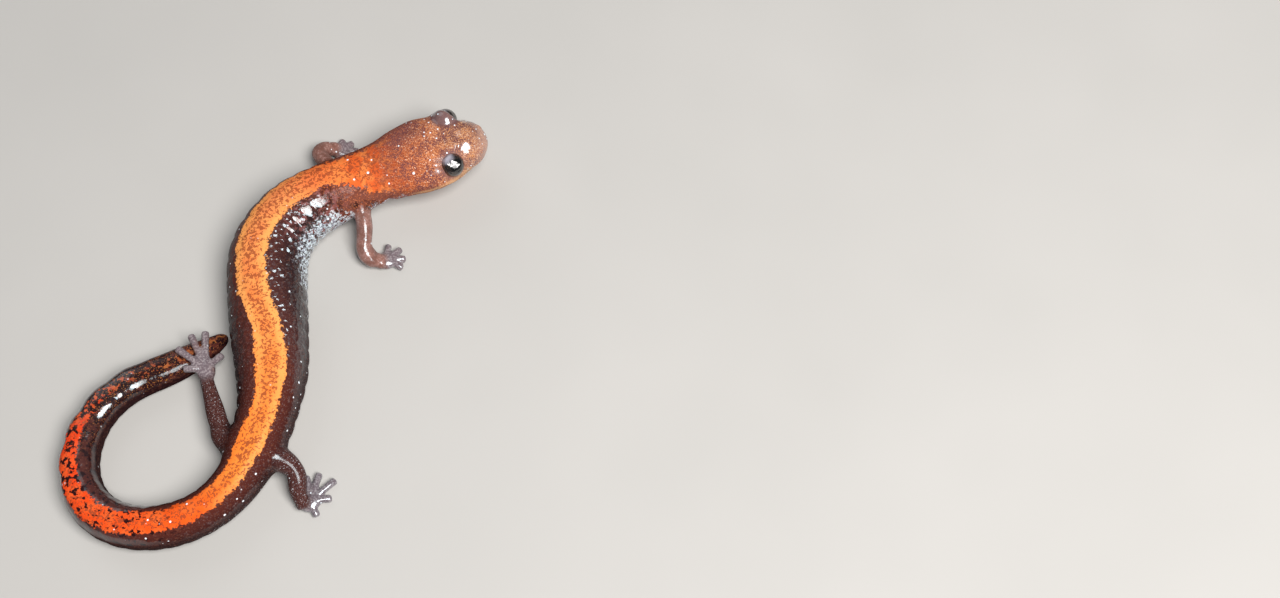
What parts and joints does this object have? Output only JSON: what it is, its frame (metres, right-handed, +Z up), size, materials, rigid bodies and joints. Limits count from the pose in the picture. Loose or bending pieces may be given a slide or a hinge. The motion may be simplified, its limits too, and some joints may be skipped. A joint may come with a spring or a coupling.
{
  "type": "red-backed salamander model",
  "caption": "Life-size still model of a red-backed salamander lying in an S, its head raised and its hind foot over the end of its tail.",
  "frame": {"origin": "middle of the footprint, on the floor", "axes": "+Z up; +Y away from the camera, from the tail's bend towards the head; +X to the right of the picture, the way the snout points"},
  "size_m": [0.0348, 0.04, 0.0058],
  "materials": {
    "skin": "moist, glossy skin: orange-red stripe over dark brown sides",
    "eye": "glossy black"
  },
  "bodies": {
    "root": {"head": "skin", "neck": "skin", "trunk_front": "skin", "trunk_middle": "skin", "trunk_rear": "skin", "tail_1": "skin", "tail_2": "skin", "tail_3": "skin", "tail_4": "skin", "tail_5": "skin", "tail_6": "skin", "front_leg_left": "skin", "front_foot_left": "skin", "front_leg_right": "skin", "front_foot_right": "skin", "hind_leg_left": "skin", "hind_foot_left": "skin", "hind_leg_right": "skin", "hind_foot_right": "skin", "eye_left": "eye", "eye_right": "eye"}
  },
  "joints": []
}
